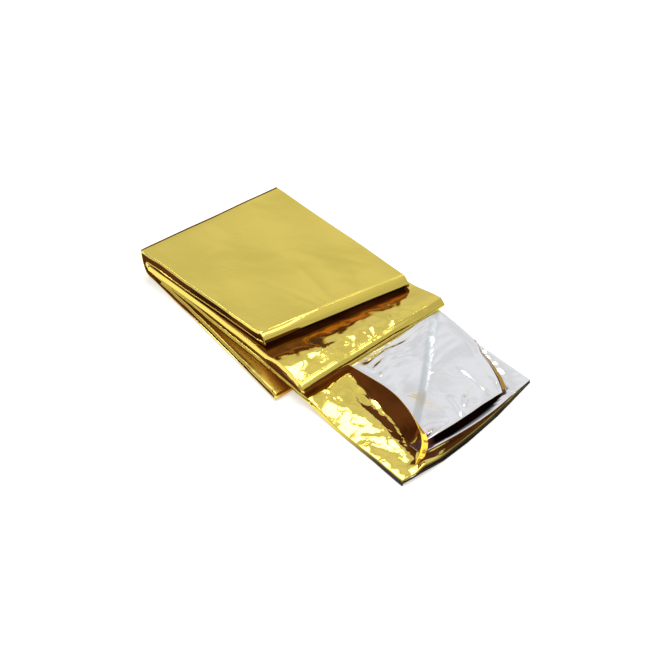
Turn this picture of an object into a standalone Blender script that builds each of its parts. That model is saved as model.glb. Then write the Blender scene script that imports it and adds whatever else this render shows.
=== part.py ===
"""Emergency foil blanket: one sheet of metallised film, folded lengthwise into a strip.

The strip is folded back and forth into a flat pack. Its last run is pulled out along the
surface, and the film on top of that run is turned over at the far edge and lifted at the near.
The strip is modelled as its middle surface, which a Solidify modifier makes a solid.
All lengths below are millimetres: x along the strip, y across it, z up from the surface.
"""

import math
from collections import namedtuple

import bmesh
import bpy
from mathutils import Vector

MM = 0.001

# Driving dimensions
CENTRE_X = 124.25  # the middle of the pack and its run, which becomes x = 0
CENTRE_Y = 43.15  # the same across, which becomes y = 0
COLUMNS = 10  # faces across the strip
FOLD_STEPS = 6  # faces round a fold
THICKEST = 2.2  # the upper bundle of film, which the other bundles are a share of

# Where each run of the strip ends. A fold's nose is at near_x on the near edge of the strip and
# at far_x on the far edge; reach is how far its rounding goes back, and lean how far its lower
# end stands in from its upper one.
End = namedtuple("End", "name near_x far_x near_y far_y reach lean")
ENDS = (
    End("inner end", 20.0, 22.0, 0.0, 97.0, 0.0, 0.0),
    End("under fold", 149.0, 135.0, -18.7, 84.0, 1.12, 0.0),
    End("outer loop", 0.0, -5.0, -0.6, 100.6, 7.0, 5.5),
    End("top fold", 115.5, 119.0, -0.2, 99.0, 1.8, 0.0),
    End("second left fold", 9.0, 5.5, -1.3, 100.2, 1.17, 0.0),
    End("middle fold", 161.5, 143.0, -9.6, 105.0, 1.45, 0.0),
    End("third left fold", 11.5, 8.5, 0.4, 100.4, 1.0, 0.0),
    End("turned film", 157.0, 140.5, -8.6, 100.4, 0.0, 0.0),
    End("cut end", 252.0, 222.5, -15.0, 99.5, 0.0, 0.0),
)

# The runs between those ends, from the innermost: the height of the middle of the run, its
# thickness, how late its edges drift from one end's place to the other's, and its faces.
Run = namedtuple("Run", "name level thick drift rows")
RUNS = (
    Run("inner run", 2.95, 1.4, 1.15, 12),
    Run("bottom run", 0.70, 1.4, 1.15, 13),
    Run("top run", 15.00, 2.2, 1.0, 11),
    Run("second run", 11.40, 1.8, 1.0, 10),
    Run("third run", 9.05, 1.4, 3.0, 14),
    Run("fourth run", 6.85, 1.4, 3.0, 13),
    Run("pulled run", 4.85, 1.4, 1.1, 13),
    Run("open run", 4.85, 1.6, 1.15, 14),
)
OPEN_RUN = len(RUNS) - 1

# The open run goes down from the pack to the surface.
DROP_AFTER = 2.5  # past the fold that it lies on
DROP_LENGTH = 44.0
OPEN_LEVEL = 0.8
END_BOW = 1.6  # how late the cut end curves away from the near corner
LOOP_ROUNDNESS = 0.7  # of the outer loop: 1 is an ellipse, less is squarer

# The third and fourth runs lift towards their fold, so that the turned film goes under it.
LIFT = {"third run": 2.2, "fourth run": 1.55}
LIFT_FROM = 117.0
LIFT_LENGTH = 24.0

# The inner run swells at its near corner, where nothing lies on it.
SWELL = 0.9
SWELL_FROM = 90.0
SWELL_LENGTH = 50.0
SWELL_WIDTH = 0.1  # as a share of the strip

# The turned film: its thickness, its clearance over the run, and its faces.
FLAP_THICK = 1.0
FLAP_RISE = 2.0  # from the middle of the run to the middle of the film lying on it
FLAP_FOLD_STEPS = 5
FLAP_COLUMNS = 11
FLAP_FOLD_REACH = 1.0
FLAP_SET_BACK = 9.0  # of its front edge from the cut end of the run, between the corners

# Its free edge stands up in an arch, from under the middle fold to the near corner.
Arch = namedtuple("Arch", "share x y height")
ARCH = (
    Arch(0.00, 153.5, 27.5, 6.0),
    Arch(0.16, 167.0, 27.5, 7.4),
    Arch(0.40, 191.0, 25.5, 10.8),
    Arch(0.60, 210.0, 20.8, 13.0),
    Arch(0.78, 227.0, 15.0, 12.6),
    Arch(0.90, 239.5, 8.4, 9.4),
    Arch(1.00, 248.5, -3.5, 4.4),
)
CREASE_FAR = (148.0, 94.0)  # the film bends up along a line from this point
CREASE_NEAR = (231.0, 10.0)  # to this one
CREASE_LEAST = 5.0  # least distance over which it rises
CREASE_POWER = 1.25

# Slow waves of the whole pack: height, length and direction of each.
Wave = namedtuple("Wave", "height length heading phase")
WAVES = (
    Wave(0.30, 96.0, 24.0, 0.4),
    Wave(0.22, 61.0, -38.0, 1.9),
    Wave(0.14, 37.0, 71.0, 2.6),
)
WAVES_FULL_AT = 14.0  # the height where they are whole; the bottom is flat


def lerp(a, b, share):
    return a + (b - a) * share


def smooth(value):
    """A soft step from 0 to 1 as value goes from 0 to 1."""
    value = min(1.0, max(0.0, value))
    return value * value * (3.0 - 2.0 * value)


def waves(x, y):
    """The slow waves' height at a place in the plan."""
    total = 0.0
    for wave in WAVES:
        heading = math.radians(wave.heading)
        along = x * math.cos(heading) + y * math.sin(heading)
        total += wave.height * math.sin(2.0 * math.pi * along / wave.length + wave.phase)
    return total


def wavy(x, y, z):
    """The point, moved with the slow waves by its height over the surface."""
    share = smooth((z - 3.0) / WAVES_FULL_AT)
    return Vector((x, y, z + share * waves(x, y)))


def end_x(end, across):
    """Where an end of a run is, this share of the way across the strip."""
    if end.name == "cut end":
        return lerp(end.near_x, end.far_x, across**END_BOW)
    return lerp(end.near_x, end.far_x, across)


def level_at(run, x, across):
    """The height of a run's middle at x."""
    if run.name in LIFT:
        return run.level + LIFT[run.name] * smooth((x - LIFT_FROM) / LIFT_LENGTH)
    if run.name == "inner run":
        near = max(0.0, 1.0 - across / SWELL_WIDTH)
        return run.level + SWELL * near * smooth((x - SWELL_FROM) / SWELL_LENGTH)
    if run.name in ("pulled run", "open run"):
        start = end_x(ENDS[1], across) + DROP_AFTER
        return lerp(run.level, OPEN_LEVEL, smooth((x - start) / DROP_LENGTH))
    return run.level


def edge_y(start, end, share, drift, across):
    """y where a run has gone this share of its way; the drift is late on its right-hand side."""
    if end_x(start, 0.5) < end_x(end, 0.5):
        share = share**drift
    else:
        share = 1.0 - (1.0 - share) ** drift
    near = lerp(start.near_y, end.near_y, share)
    far = lerp(start.far_y, end.far_y, share)
    return lerp(near, far, across)


def run_row(number, share, across):
    """A point on a run: its place, and its thickness."""
    run = RUNS[number]
    start = ENDS[number]
    end = ENDS[number + 1]
    way = 1.0 if end_x(start, 0.5) < end_x(end, 0.5) else -1.0
    x_start = end_x(start, across) + way * start.reach
    x_end = end_x(end, across) - way * end.reach + end.lean
    x = lerp(x_start, x_end, share)
    y = edge_y(start, end, share, run.drift, across)
    return (x, y, level_at(run, x, across)), run.thick


def fold_row(number, share, across):
    """A point on the fold between two runs, as half an ellipse."""
    end = ENDS[number + 1]
    (x_from, _, z_from), thick_from = run_row(number, 1.0, across)
    (x_to, _, z_to), thick_to = run_row(number + 1, 0.0, across)
    outward = 1.0 if end_x(ENDS[number], 0.5) < end_x(end, 0.5) else -1.0
    angle = math.pi * share
    roundness = LOOP_ROUNDNESS if end.name == "outer loop" else 1.0
    x = lerp(x_from, x_to, share) + outward * end.reach * math.sin(angle) ** roundness
    z = lerp(z_from, z_to, 0.5 - 0.5 * math.cos(angle))
    y = lerp(end.near_y, end.far_y, across)
    return (x, y, z), lerp(thick_from, thick_to, share)


def arch_at(share):
    """A point on the turned film's free edge, as a smooth curve through its table."""
    row = 0
    while row < len(ARCH) - 2 and share > ARCH[row + 1].share:
        row += 1
    here = ARCH[row]
    after = ARCH[row + 1]
    before = ARCH[max(row - 1, 0)]
    later = ARCH[min(row + 2, len(ARCH) - 1)]
    span = after.share - here.share
    t = (share - here.share) / span
    point = []
    for axis in ("x", "y", "height"):
        first = getattr(here, axis)
        second = getattr(after, axis)
        slope_in = (second - getattr(before, axis)) / max(after.share - before.share, 1e-9) * span
        slope_out = (getattr(later, axis) - first) / max(later.share - here.share, 1e-9) * span
        point.append(
            first * (2 * t**3 - 3 * t**2 + 1)
            + second * (3 * t**2 - 2 * t**3)
            + slope_in * (t**3 - 2 * t**2 + t)
            + slope_out * (t**3 - t**2)
        )
    return point


def past_crease(x, y):
    """How far a place lies on the lifted side of the turned film's crease."""
    along = Vector((CREASE_NEAR[0] - CREASE_FAR[0], CREASE_NEAR[1] - CREASE_FAR[1])).normalized()
    return (x - CREASE_FAR[0]) * along.y - (y - CREASE_FAR[1]) * along.x


def flap_row(share, inward):
    """A point on the turned film: share along the strip, inward from the far edge to the free edge."""
    (far_x, far_y, _), _ = run_row(OPEN_RUN, share, 1.0)
    (_, near_y, _), _ = run_row(OPEN_RUN, share, 0.0)
    free_x, free_y, free_z = arch_at(share)
    set_back = FLAP_SET_BACK * math.sin(math.pi * inward) * share**3
    x = lerp(far_x, free_x, inward) - set_back
    y = lerp(far_y, free_y, inward)
    across = min(1.0, max(0.0, (y - near_y) / (far_y - near_y)))
    flat = level_at(RUNS[OPEN_RUN], x, across) + FLAP_RISE
    width = past_crease(free_x, free_y)
    rising = max(CREASE_LEAST, width)
    rise = min(1.0, max(0.0, past_crease(x, y) - width + rising) / rising)
    return x, y, lerp(flat, max(free_z, flat), rise**CREASE_POWER)


def flap_fold_row(share, turn):
    """A point on the fold at the far edge, between the run and the turned film."""
    (x, y, z), _ = run_row(OPEN_RUN, share, 1.0)
    angle = math.pi * turn
    return x, y + FLAP_FOLD_REACH * math.sin(angle), z + FLAP_RISE * (0.5 - 0.5 * math.cos(angle))


def strip_points():
    """Rows of (place, thickness) across the strip, and the number of the open run's first row."""
    rows = []
    for number, run in enumerate(RUNS):
        first = 0 if number == 0 or ENDS[number].reach else 1
        if run.name == "open run":
            open_row = len(rows) - 1
        for step in range(first, run.rows + 1):
            share = step / run.rows
            rows.append([run_row(number, share, c / COLUMNS) for c in range(COLUMNS + 1)])
        end = ENDS[number + 1]
        if end.reach:
            steps = FOLD_STEPS + 4 * (end.name == "outer loop")
            for step in range(1, steps):
                share = step / steps
                rows.append([fold_row(number, share, c / COLUMNS) for c in range(COLUMNS + 1)])
    return rows, open_row


def build_blanket():
    """The middle surface of the whole sheet, one mesh, with its thickness as a vertex group."""
    rows, open_row = strip_points()
    thick_share = []
    mesh = bpy.data.meshes.new("foil_blanket")
    sheet = bmesh.new()

    def add(place, thick):
        thick_share.append(thick / THICKEST)
        point = wavy(*place)
        return sheet.verts.new(
            ((point.x - CENTRE_X) * MM, (point.y - CENTRE_Y) * MM, point.z * MM)
        )

    grid = [[add(place, thick) for place, thick in row] for row in rows]
    for upper, lower in zip(grid, grid[1:]):
        for c in range(COLUMNS):
            sheet.faces.new((upper[c], lower[c], lower[c + 1], upper[c + 1]))

    open_rows = RUNS[OPEN_RUN].rows
    turned = []
    for step in range(open_rows + 1):
        share = step / open_rows
        line = [grid[open_row + step][COLUMNS]]
        for turn in range(1, FLAP_FOLD_STEPS):
            turned_share = turn / FLAP_FOLD_STEPS
            thick = lerp(RUNS[OPEN_RUN].thick, FLAP_THICK, turned_share)
            line.append(add(flap_fold_row(share, turned_share), thick))
        for column in range(FLAP_COLUMNS + 1):
            line.append(add(flap_row(share, column / FLAP_COLUMNS), FLAP_THICK))
        turned.append(line)
    for upper, lower in zip(turned, turned[1:]):
        for c in range(len(upper) - 1):
            sheet.faces.new((upper[c], lower[c], lower[c + 1], upper[c + 1]))

    sheet.verts.index_update()
    sheet.to_mesh(mesh)
    sheet.free()
    return mesh, thick_share


def gold_film():
    """The metallised film's gold side."""
    material = bpy.data.materials.new("gold_film")
    material.use_nodes = True
    shader = material.node_tree.nodes["Principled BSDF"]
    shader.inputs["Base Color"].default_value = (0.72, 0.53, 0.13, 1.0)
    shader.inputs["Metallic"].default_value = 1.0
    shader.inputs["Roughness"].default_value = 0.22
    return material


def main():
    for thing in list(bpy.data.objects):
        bpy.data.objects.remove(thing, do_unlink=True)

    mesh, thick_share = build_blanket()
    mesh.materials.append(gold_film())
    mesh.shade_smooth()
    blanket = bpy.data.objects.new("foil_blanket", mesh)
    bpy.context.scene.collection.objects.link(blanket)

    group = blanket.vertex_groups.new(name="thickness")
    for index, share in enumerate(thick_share):
        group.add([index], share, "REPLACE")
    solid = blanket.modifiers.new("film bundle", "SOLIDIFY")
    solid.thickness = THICKEST * MM
    solid.offset = 0.0
    solid.use_even_offset = True
    solid.vertex_group = group.name


main()
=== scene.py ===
import math

import bpy
import numpy as np
from mathutils import Matrix, Vector


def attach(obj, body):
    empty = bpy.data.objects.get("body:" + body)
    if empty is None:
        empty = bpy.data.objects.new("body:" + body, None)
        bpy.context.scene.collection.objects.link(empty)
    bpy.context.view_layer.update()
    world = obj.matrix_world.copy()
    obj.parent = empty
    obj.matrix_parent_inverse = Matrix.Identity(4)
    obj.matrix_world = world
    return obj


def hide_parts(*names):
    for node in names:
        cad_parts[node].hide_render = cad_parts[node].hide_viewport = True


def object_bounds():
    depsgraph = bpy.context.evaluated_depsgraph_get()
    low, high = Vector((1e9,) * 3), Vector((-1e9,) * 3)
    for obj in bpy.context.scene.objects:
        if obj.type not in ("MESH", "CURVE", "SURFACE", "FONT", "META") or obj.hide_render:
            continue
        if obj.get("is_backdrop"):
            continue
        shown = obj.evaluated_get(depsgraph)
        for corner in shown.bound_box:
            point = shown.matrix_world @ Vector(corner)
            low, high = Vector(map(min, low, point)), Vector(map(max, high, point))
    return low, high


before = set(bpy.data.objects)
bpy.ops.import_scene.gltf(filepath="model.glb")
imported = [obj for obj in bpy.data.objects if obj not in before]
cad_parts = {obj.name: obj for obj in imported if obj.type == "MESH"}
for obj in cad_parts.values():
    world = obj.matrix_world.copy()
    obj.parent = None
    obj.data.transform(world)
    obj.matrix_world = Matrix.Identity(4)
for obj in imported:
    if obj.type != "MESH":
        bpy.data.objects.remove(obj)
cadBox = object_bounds()

# All sizes below are millimetres: x along the folded strip, y across it, z up.
mm = 0.001

pack = {
    "centreX": 124.25,  # the middle of the blanket, which becomes x = 0
    "centreY": 43.15,
    # faces round a fold
    "foldRows": {"outer loop": 22, "second left fold": 8, "third left fold": 8, "other folds": 14},
    "crispOver": 0.25,  # across a fold, from round to crisp
    "lastStep": 0.45,  # next to the folds and the cut end that show
    "hiddenStep": 9.0,  # row spacing where the strip is covered
    "crushedTo": 26.0,  # the folds are crushed inside the outer loop
    "crushedLength": 14.0,
    "crushed": 1.6,
    "corners": ((0, 134.0, 12.0), (2, 104.0, 10.0)),  # and here: run, from x, length
}


def records(names, *rows):
    return [dict(zip(names.split(), row)) for row in rows]


# Where each run of the strip ends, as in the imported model. A fold's nose is at nearX on the near
# edge and at farX on the far edge; reach is how far its rounding goes back, and reachMore how much
# further on the near edge. roundTo is how far across a fold is still round, and bow how late an end
# curves away from the near corner.
ends = records(
    "name nearX farX nearY farY reach reachMore roundTo lean bow",
    ("inner end", 20.0, 22.0, 0.0, 97.0, 0.0, 0.0, 0.0, 0.0, 1.0),
    ("under fold", 149.0, 135.0, -18.7, 84.0, 1.12, 0.0, 0.0, 0.0, 1.0),
    ("outer loop", 0.0, -5.0, -0.6, 100.6, 7.0, 0.0, 0.0, 5.5, 1.0),
    ("top fold", 115.5, 119.0, -0.2, 99.0, 3.6, 1.5, 0.14, 0.0, 1.0),
    ("second left fold", 9.0, 5.5, -1.3, 100.2, 1.17, 0.0, 0.0, 0.0, 1.0),
    ("middle fold", 161.5, 143.0, -9.6, 105.0, 2.9, 0.9, 0.62, 0.0, 1.0),
    ("third left fold", 11.5, 8.5, 0.4, 100.4, 1.0, 0.0, 0.0, 0.0, 1.0),
    ("turned film", 157.0, 140.5, -8.6, 100.4, 0.0, 0.0, 0.0, 0.0, 1.0),
    ("cut end", 252.0, 222.5, -15.0, 99.5, 0.0, 0.0, 0.0, 0.0, 1.6),
)

# The runs between them. drift is how late a run swerves and wall how far its near wrap hangs down;
# seen is the stretch of x that shows, and step its row spacing. crumple is how high its crinkles
# stand, size how wide they are, and fine the strength of the smallest ones.
runs = records(
    "name level thick drift wall seen step crumple size fine",
    ("inner run", 2.95, 1.4, 1.15, 1.0, (96, 150), 2.2, 0.06, 16.0, 0.05),
    ("bottom run", 0.70, 1.4, 1.15, 1.0, (0, 0), 2.2, 0.0, 9.0, 0.1),
    ("top run", 15.3, 1.6, 1.0, 1.0, (-10, 120), 3.0, 0.09, 24.0, 0.05),
    ("second run", 11.2, 2.4, 1.0, 1.0, (104, 120), 2.0, 0.0, 9.0, 0.1),
    ("third run", 8.75, 1.6, 3.0, 1.9, (108, 165), 1.35, 0.50, 13.0, 0.5),
    ("fourth run", 6.7, 1.6, 3.0, 1.0, (140, 165), 2.2, 0.0, 9.0, 0.3),
    ("pulled run", 4.85, 1.4, 1.1, 1.0, (130, 165), 2.2, 0.0, 9.0, 0.6),
    ("open run", 4.85, 1.6, 1.15, 1.0, (100, 300), 1.35, 0.36, 15.0, 0.35),
)
topRun = 2
openRun = len(runs) - 1
finerEnds = ("top run", "third run", "open run")  # these have one more row at the fold that shows
middleFold = ends[5]

# A pair of numbers below says where something starts and over what length it grows
openShape = {
    "dropAfter": 2.5,  # past the fold that the run lies on
    "dropLength": 44.0,
    "level": 0.8,  # its middle, where it lies on the surface
    "endLift": 2.7,  # the cut end stands up, its top layer most
    "nearMargin": 11.0,  # how much of its top layer shows there
    "farMargin": 2.5,
    "endTip": 0.45,  # the last part of it is flat again, most at the near corner
    "tipLeast": 0.03,
    "tipTo": 0.38,
    "lift": (0.05, 0.1),  # across
    "layerLifts": (1.0, 0.72, 0.4, 0.05),  # from the top layer down
    "cornerLift": 1.5,  # of the near edge, towards the near corner
    "corner": (185.0, 60.0),
    "cornerWidth": 0.1,
    "wallMore": 1.0,  # how much further its near wrap hangs down there
    "wall": (0.4, 0.55),
    "hem": 1.3,  # and its very edge hangs down
    "hemLeast": 0.35,
    "ragged": 0.5,
    "raggedPart": (0.45, 0.2),  # across
    "raggedSize": 5.0,
    "raggedBack": 0.3,
}
lift = {"third run": 2.2, "fourth run": 1.55}  # towards their fold, over the turned film
liftPlace = {"part": (117.0, 24.0), "far": 0.55}  # and as much at the far edge
pillow = {"height": 2.3, "part": (116.0, 30.0), "fall": 16.0, "width": 0.9, "edge": 0.3,
          "edgeWidth": 0.14}  # on the third run
ridge = {"height": 1.5, "part": (158.0, 24.0), "middle": 0.13, "width": 0.14}  # open run
swell = {"height": 0.9, "part": (90.0, 50.0), "width": 0.1}  # the inner run's near corner

# Slow waves of the whole pack
slowWaves = records(
    "height length heading phase",
    (0.16, 96.0, 24.0, 0.4),
    (0.11, 61.0, -38.0, 1.9),
    (0.07, 37.0, 71.0, 2.6),
)
wavesPart = (3.0, 14.0)  # of the height

# The sheet goes back and forth across each run: four layers, gold outwards
film = {
    "thickness": 0.16,
    "upperColumns": 74,  # the layer that shows
    "besideEdge": 0.0035,
    "hiddenShares": (0.0, 0.07, 0.13, 0.2, 0.27, 0.45, 0.7, 1.0),  # columns of the layers below
    "wrapColumns": 12,
    "turnColumns": 4,
    "innerHeight": 1.0 / 6.0,  # of the two inner layers, as a share of the run's thickness
    "innerSetBack": 0.012,  # of their fold from the near edge
    "wrapBulge": 0.6,
    "uprightBulge": 0.25,
    "waver": 0.28,  # of the near edges
    "waverWidth": 0.06,
    "waverLength": 11.0,
    "waverUp": 0.45,  # as much of it goes up and down
}


def mix(a, b, share):
    return a + (b - a) * share


def softStep(value):
    value = np.clip(value, 0.0, 1.0)
    return value * value * (3.0 - 2.0 * value)


def ramp(value, start, length):
    # from 0 at the start to 1 a length further on
    return softStep((value - start) / length)


def fadeEnds(value, length):
    # 0 at both ends and 1 between them
    return softStep(value / length) * softStep((1.0 - value) / length)


# Noise for crinkled film: flat facets that meet in sharp creases
tableSize = 61
seeds = {"runs": 3, "nextRun": 7, "waver": 77, "upDown": 78, "ragged": 12, "pleat": 91,
         "turned": 51}
octaves = ((1.0, 0.35), (0.48, 1.45), (0.22, 2.3))  # how high, and turned how far


def facets(x, y, size, seed):
    table = np.random.default_rng(seed).uniform(-1.0, 1.0, (tableSize, tableSize))
    warpX = x + 0.32 * size * np.sin(y * 1.9 / size + seed) + 0.2 * size * np.sin(y * 4.3 / size)
    warpY = y + 0.32 * size * np.sin(x * 2.1 / size + 2.0 * seed)
    a = (warpX + 0.577 * warpY) / size
    b = 1.155 * warpY / size
    i = np.floor(a).astype(int)
    j = np.floor(b).astype(int)
    fa = a - i
    fb = b - j
    corner = lambda di, dj: table[(i + di) % tableSize, (j + dj) % tableSize]
    low = corner(0, 0) * (1.0 - fa - fb) + corner(1, 0) * fa + corner(0, 1) * fb
    high = corner(1, 1) * (fa + fb - 1.0) + corner(1, 0) * (1.0 - fb) + corner(0, 1) * (1.0 - fa)
    return np.where(fa + fb < 1.0, low, high)


def crumple(x, y, size, seed):
    total = np.zeros_like(x)
    for octave, (share, turn) in enumerate(octaves):
        turnedX = x * math.cos(turn) + y * math.sin(turn)
        turnedY = y * math.cos(turn) - x * math.sin(turn)
        total = total + share * facets(turnedX, turnedY, size * 0.5**octave, seed + octave)
    return total


def endX(end, across):
    return mix(end["nearX"], end["farX"], across ** end["bow"])


def reachOf(end, across):
    return end["reach"] + end["reachMore"] * (1.0 - across)


def goesRight(number):
    return ends[number]["nearX"] < ends[number + 1]["nearX"]


def levelAt(run, x, across):
    if run["name"] in lift:
        high = lift[run["name"]] * mix(1.0, liftPlace["far"], np.asarray(across) ** 2)
        level = run["level"] + high * ramp(x, *liftPlace["part"])
        if run["name"] == "third run":
            rise = ramp(x, *pillow["part"])
            fall = softStep((endX(middleFold, across) - x) / pillow["fall"])
            near = softStep((pillow["width"] - across) / pillow["width"])
            near = near * mix(pillow["edge"], 1.0, softStep(across / pillow["edgeWidth"]))
            level = level + pillow["height"] * rise * fall * near
        return level
    if run["name"] == "inner run":
        near = np.maximum(0.0, 1.0 - across / swell["width"])
        return run["level"] + swell["height"] * near * ramp(x, *swell["part"])
    if run["name"] in ("pulled run", "open run"):
        start = endX(ends[1], across) + openShape["dropAfter"]
        level = mix(run["level"], openShape["level"], ramp(x, start, openShape["dropLength"]))
        across = np.asarray(across)
        nearSide = np.sin(np.clip(across / ridge["middle"], 0.0, 1.0) * math.pi / 2.0)
        farSide = softStep((ridge["width"] + ridge["middle"] - across) / ridge["width"])
        shape = np.where(across < ridge["middle"], nearSide, farSide)
        start = ramp(x, *ridge["part"])
        corner = ramp(x, *openShape["corner"])
        corner = corner * softStep(1.0 - across / openShape["cornerWidth"])
        return level + ridge["height"] * shape * start + openShape["cornerLift"] * corner
    return run["level"] + 0.0 * x


def runLine(number, share, across):
    run = runs[number]
    start = ends[number]
    end = ends[number + 1]
    way = 1.0 if goesRight(number) else -1.0
    xStart = endX(start, across) + way * reachOf(start, across)
    xEnd = endX(end, across) - way * reachOf(end, across) + end["lean"]
    x = mix(xStart, xEnd, share)
    if goesRight(number):
        drifted = share ** run["drift"]
    else:
        drifted = 1.0 - (1.0 - share) ** run["drift"]
    near = mix(start["nearY"], end["nearY"], drifted)
    far = mix(start["farY"], end["farY"], drifted)
    return np.stack([x, mix(near, far, across), levelAt(run, x, across)], axis=-1)


# A fold from its upper layer to its lower one, where it is still round
roundFold = (
    # share of the way, how far out, how far down
    (0.00, 0.00, 0.00),
    (0.15, 0.24, 0.03),
    (0.30, 0.46, 0.11),
    (0.45, 0.66, 0.26),
    (0.60, 0.83, 0.50),
    (0.76, 0.97, 0.90),
    (0.86, 1.00, 0.99),
    (0.93, 0.80, 1.00),
    (1.00, 0.00, 1.00),
)

# The same where it was pressed harder
crispFold = (
    (0.00, 0.00, 0.00),
    (0.10, 0.13, 0.10),
    (0.30, 0.36, 0.30),
    (0.55, 0.66, 0.58),
    (0.78, 0.97, 0.93),
    (0.86, 1.00, 0.99),
    (0.93, 0.80, 1.00),
    (1.00, 0.00, 1.00),
)

# A near wrap that goes straight down
uprightWrap = (
    (0.00, 0.00, 0.00),
    (0.09, 0.80, 0.02),
    (0.17, 1.00, 0.10),
    (0.50, 1.00, 0.50),
    (0.83, 1.00, 0.92),
    (0.92, 0.80, 1.00),
    (1.00, 0.00, 1.00),
)

# The outer loop: a sharp upper crease, then nearly upright
outerLoop = (
    (0.00, 0.00, 0.000),
    (0.05, 0.62, 0.001),
    (0.08, 0.78, 0.003),
    (0.11, 0.86, 0.008),
    (0.15, 0.91, 0.022),
    (0.20, 0.95, 0.06),
    (0.32, 1.00, 0.20),
    (0.50, 0.99, 0.45),
    (0.68, 0.90, 0.70),
    (0.80, 0.74, 0.86),
    (0.90, 0.45, 0.96),
    (1.00, 0.00, 1.00),
)


def foldProfile(turn, table):
    places = [row[0] for row in table]
    outward = np.interp(turn, places, [row[1] for row in table])
    down = np.interp(turn, places, [row[2] for row in table])
    return outward, down


def foldLine(number, turn, across):
    end = ends[number + 1]
    upper = runLine(number, 1.0, across)
    lower = runLine(number + 1, 0.0, across)
    outward = 1.0 if goesRight(number) else -1.0
    angle = math.pi * turn
    if end["name"] in ("top fold", "middle fold"):
        out, down = foldProfile(turn, roundFold)
        crispOut, crispDown = foldProfile(turn, crispFold)
        crisp = ramp(across, end["roundTo"], pack["crispOver"])
        out = mix(out, crispOut, crisp)
        down = mix(down, crispDown, crisp)
        turn = softStep(turn)
    elif end["name"] == "outer loop":
        # this run comes up from below
        out, down = foldProfile(1.0 - turn, outerLoop)
        down = 1.0 - down
    else:
        out = math.sin(angle)
        down = 0.5 - 0.5 * math.cos(angle)
    x = mix(upper[:, 0], lower[:, 0], turn) + outward * reachOf(end, across) * out
    z = mix(upper[:, 2], lower[:, 2], down)
    y = mix(end["nearY"], end["farY"], across)
    return np.stack([x, y, z], axis=-1)


def rowShares(number):
    run = runs[number]
    middle = np.array([0.5])
    first = runLine(number, 0.0, middle)[0, 0]
    last = runLine(number, 1.0, middle)[0, 0]
    length = abs(last - first)
    way = 1.0 if last > first else -1.0
    places = [0.0]
    while places[-1] < length:
        x = first + way * places[-1]
        seen = run["seen"][0] <= x <= run["seen"][1]
        places.append(places[-1] + (run["step"] if seen else pack["hiddenStep"]))
    if run["name"] in finerEnds:
        places.insert(-1, places[-1] - pack["lastStep"])
    return [place / places[-1] for place in places]


def stripRows():
    rows = []
    for number in range(len(runs)):
        shares = rowShares(number)
        if number > 0 and ends[number]["reach"] == 0.0:
            shares = shares[1:]
            rows[-1]["opens"] = True
        thick = runs[number]["thick"]
        for share in shares:
            rows.append(dict(kind="run", number=number, share=share, thick=thick))
        end = ends[number + 1]
        if end["reach"] > 0.0:
            steps = pack["foldRows"].get(end["name"], pack["foldRows"]["other folds"])
            for step in range(1, steps):
                turn = step / steps
                between = mix(thick, runs[number + 1]["thick"], turn)
                rows.append(dict(kind="fold", number=number, share=turn, thick=between))
    return rows


def rowLine(row, across):
    line = runLine if row["kind"] == "run" else foldLine
    return line(row["number"], row["share"], across)


# The sheet's columns: height is over the run's middle, outward how far out on the near side
# (way -1) or the far side (way 1), and wrapped how far round a near wrap.
columnNames = ("across", "height", "outward", "way", "layer", "wrapped")


def filmColumns():
    inner = film["innerHeight"]
    columns = []
    shares = np.linspace(1.0, 0.0, film["upperColumns"] + 1)
    for share in [*shares[:-1], film["besideEdge"], 0.0]:
        columns.append((share, 0.5, 0.0, 0.0, 1, 0.0))
    for step in range(1, film["wrapColumns"]):
        outward, down = foldProfile(step / film["wrapColumns"], crispFold)
        columns.append((0.0, 0.5 - down, film["wrapBulge"] * outward, -1.0, 1,
                        step / film["wrapColumns"]))
    for share in film["hiddenShares"]:
        columns.append((share, -0.5, 0.0, 0.0, 4, 0.0))
    for step in range(1, film["turnColumns"]):
        angle = math.pi * step / film["turnColumns"]
        radius = (0.5 - inner) / 2.0
        height = -(0.5 + inner) / 2.0 - radius * math.cos(angle)
        columns.append((1.0, height, radius * math.sin(angle), 1.0, 3, 0.0))
    for share in film["hiddenShares"][::-1]:
        share = max(share, film["innerSetBack"])
        columns.append((share, -inner, 0.0, 0.0, 3, 0.0))
    for step in range(1, film["turnColumns"]):
        angle = math.pi * step / film["turnColumns"]
        columns.append(
            (film["innerSetBack"], -inner * math.cos(angle), inner * math.sin(angle), -1.0, 2, 0.0)
        )
    for share in film["hiddenShares"]:
        share = max(share, film["innerSetBack"])
        columns.append((share, inner, 0.0, 0.0, 2, 0.0))
    return dict(zip(columnNames, np.array(columns).T))


def addObject(name, data):
    thing = bpy.data.objects.new(name, data)
    bpy.context.scene.collection.objects.link(thing)
    return thing


def unit(vectors):
    return vectors / np.maximum(np.linalg.norm(vectors, axis=-1, keepdims=True), 1e-9)


def slowWave(x, y):
    total = np.zeros_like(x)
    for wave in slowWaves:
        heading = math.radians(wave["heading"])
        along = x * math.cos(heading) + y * math.sin(heading)
        phase = 2.0 * math.pi * along / wave["length"] + wave["phase"]
        total = total + wave["height"] * np.sin(phase)
    return total


def withWaves(points):
    share = ramp(points[..., 2], *wavesPart)
    points = points.copy()
    points[..., 2] += share * slowWave(points[..., 0], points[..., 1])
    return points


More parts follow.
